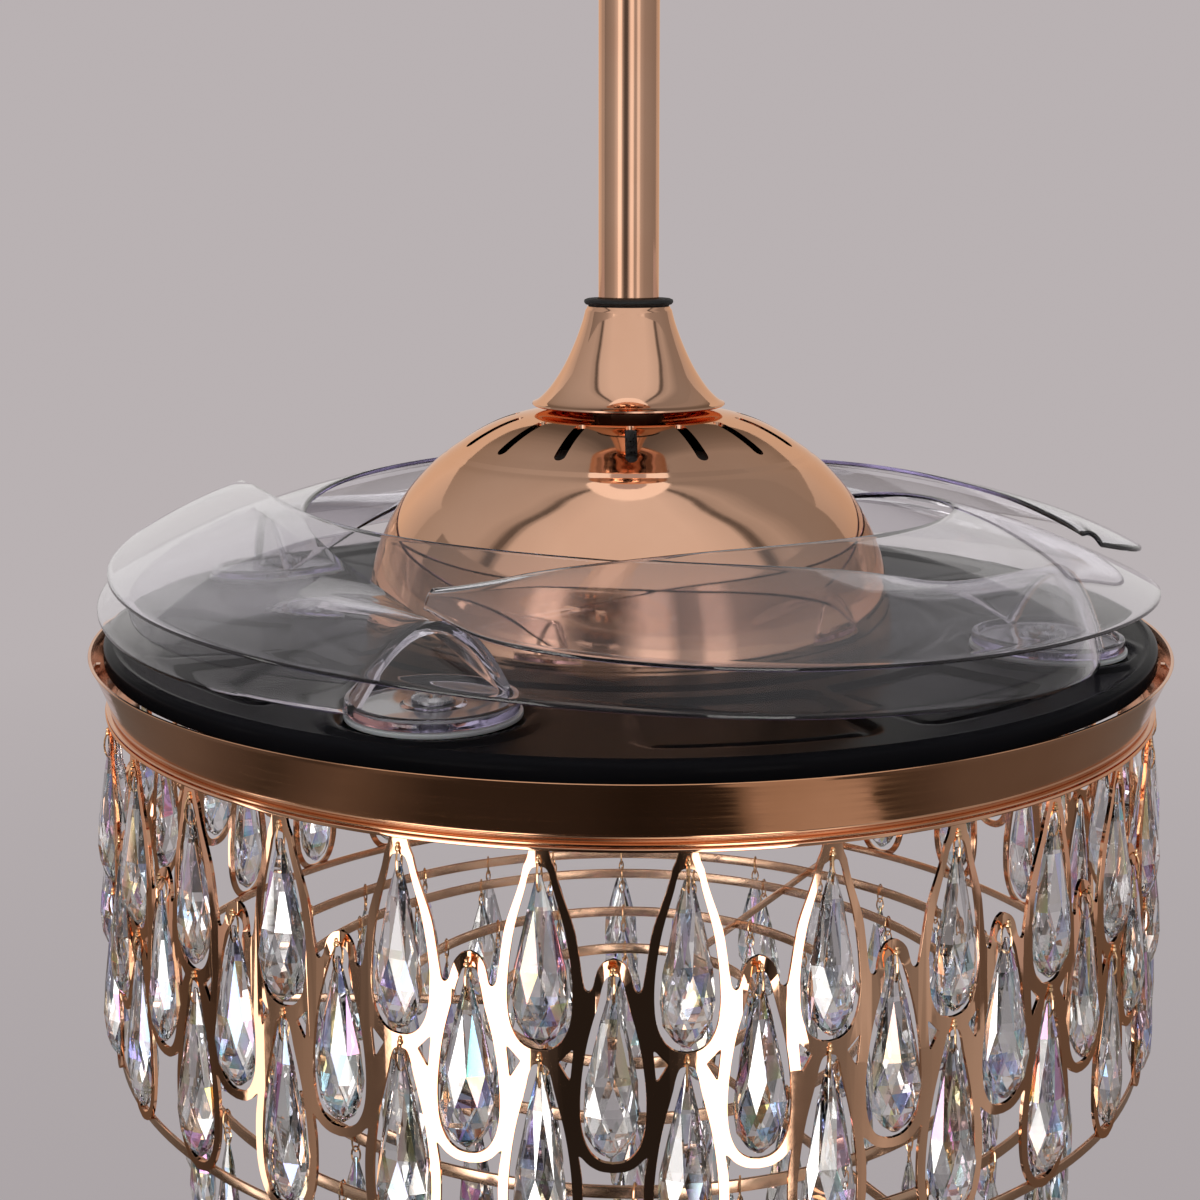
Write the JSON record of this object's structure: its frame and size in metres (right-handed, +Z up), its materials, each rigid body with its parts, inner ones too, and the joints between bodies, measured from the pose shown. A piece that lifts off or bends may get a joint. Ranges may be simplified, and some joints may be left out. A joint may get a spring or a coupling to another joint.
{
  "type": "retractable blade ceiling fan",
  "caption": "Ceiling fan on a downrod, with clear blades that fold into a spiral on a round tray over a drum cage hung with drop crystals.",
  "frame": {"origin": "centre of the hanger bracket on its ceiling face; everything hangs below it", "axes": "+Z up to the ceiling along the downrod; -Y towards the viewer of the picture"},
  "size_m": [0.4688, 0.4688, 0.6008],
  "materials": {
    "rose_gold": "polished rose-gold plating on steel",
    "zinc_steel": "zinc-plated steel",
    "plain_steel": "bright steel",
    "silicon_steel": "laminated silicon steel",
    "copper_wire": "enamelled copper wire",
    "ferrite": "sintered ferrite",
    "cast_aluminium": "die-cast",
    "black_tray": "satin black paint on pressed steel",
    "black_rubber": "moulded rubber",
    "clear_polycarbonate": "clear moulded polycarbonate",
    "white_nylon": "moulded nylon",
    "crystal_glass": "faceted clear crystal",
    "white_shell": "moulded plastic",
    "led_aluminium": "white-coated aluminium circuit board",
    "opal_acrylic": "opal acrylic"
  },
  "bodies": {
    "fixed_frame": {"hanger_bracket": "zinc_steel", "hanger_ball": "zinc_steel", "hanger_ball_pin": "plain_steel", "downrod": "rose_gold", "canopy": "rose_gold", "canopy_screw_left": "plain_steel", "canopy_screw_right": "plain_steel", "rod_gasket": "black_rubber", "coupling_cover": "rose_gold", "yoke": "zinc_steel", "clevis_pin": "plain_steel", "motor_shaft": "plain_steel", "stator_core": "silicon_steel", "stator_winding_upper": "copper_wire", "stator_winding_lower": "copper_wire", "flared_ring": "rose_gold", "light_spider": "zinc_steel", "light_nut": "plain_steel", "cage": "rose_gold", "tier_frame": "rose_gold", "led_driver": "white_shell", "led_board": "led_aluminium", "light_diffuser": "opal_acrylic", "crystal_tier_1": "crystal_glass", "crystal_tier_2": "crystal_glass", "crystal_tier_3": "crystal_glass", "crystal_tier_4": "crystal_glass", "crystal_row_1": "crystal_glass", "crystal_row_2": "crystal_glass", "crystal_row_3": "crystal_glass"},
    "rotor": {"motor_housing": "rose_gold", "rotor_case_lower": "cast_aluminium", "rotor_case_upper": "cast_aluminium", "rotor_magnet_ring": "ferrite", "bearing_lower": "plain_steel", "bearing_upper": "plain_steel", "blade_tray": "black_tray", "pivot_washer_1": "white_nylon", "pivot_screw_1": "plain_steel", "return_spring_1": "plain_steel", "pivot_washer_2": "white_nylon", "pivot_screw_2": "plain_steel", "return_spring_2": "plain_steel", "pivot_washer_3": "white_nylon", "pivot_screw_3": "plain_steel", "return_spring_3": "plain_steel", "pivot_washer_4": "white_nylon", "pivot_screw_4": "plain_steel", "return_spring_4": "plain_steel"},
    "blade_1": {"blade_1": "clear_polycarbonate"},
    "blade_2": {"blade_2": "clear_polycarbonate"},
    "blade_3": {"blade_3": "clear_polycarbonate"},
    "blade_4": {"blade_4": "clear_polycarbonate"}
  },
  "joints": [
    {"name": "rotor_spin", "type": "hinge", "parent": "fixed_frame", "child": "rotor", "pos_m": [0, 0, -0.32], "axis": [0, 0, 1], "continuous": true},
    {"name": "blade_1_swing", "type": "hinge", "parent": "rotor", "child": "blade_1", "pos_m": [-0.07229, -0.17029, -0.351], "axis": [0, 0, 1], "range_deg": [0, 135], "stiffness_Nm_per_rad": 0.02, "springref_deg": -28.65},
    {"name": "blade_2_swing", "type": "hinge", "parent": "rotor", "child": "blade_2", "pos_m": [0.17029, -0.07229, -0.351], "axis": [0, 0, 1], "range_deg": [0, 135], "stiffness_Nm_per_rad": 0.02, "springref_deg": -28.65},
    {"name": "blade_3_swing", "type": "hinge", "parent": "rotor", "child": "blade_3", "pos_m": [0.07229, 0.17029, -0.351], "axis": [0, 0, 1], "range_deg": [0, 135], "stiffness_Nm_per_rad": 0.02, "springref_deg": -28.65},
    {"name": "blade_4_swing", "type": "hinge", "parent": "rotor", "child": "blade_4", "pos_m": [-0.17029, 0.07229, -0.351], "axis": [0, 0, 1], "range_deg": [0, 135], "stiffness_Nm_per_rad": 0.02, "springref_deg": -28.65}
  ],
  "couplings": [
    {"joint": "blade_2_swing", "follows": "blade_1_swing", "ratio": 1},
    {"joint": "blade_3_swing", "follows": "blade_1_swing", "ratio": 1},
    {"joint": "blade_4_swing", "follows": "blade_1_swing", "ratio": 1}
  ]
}
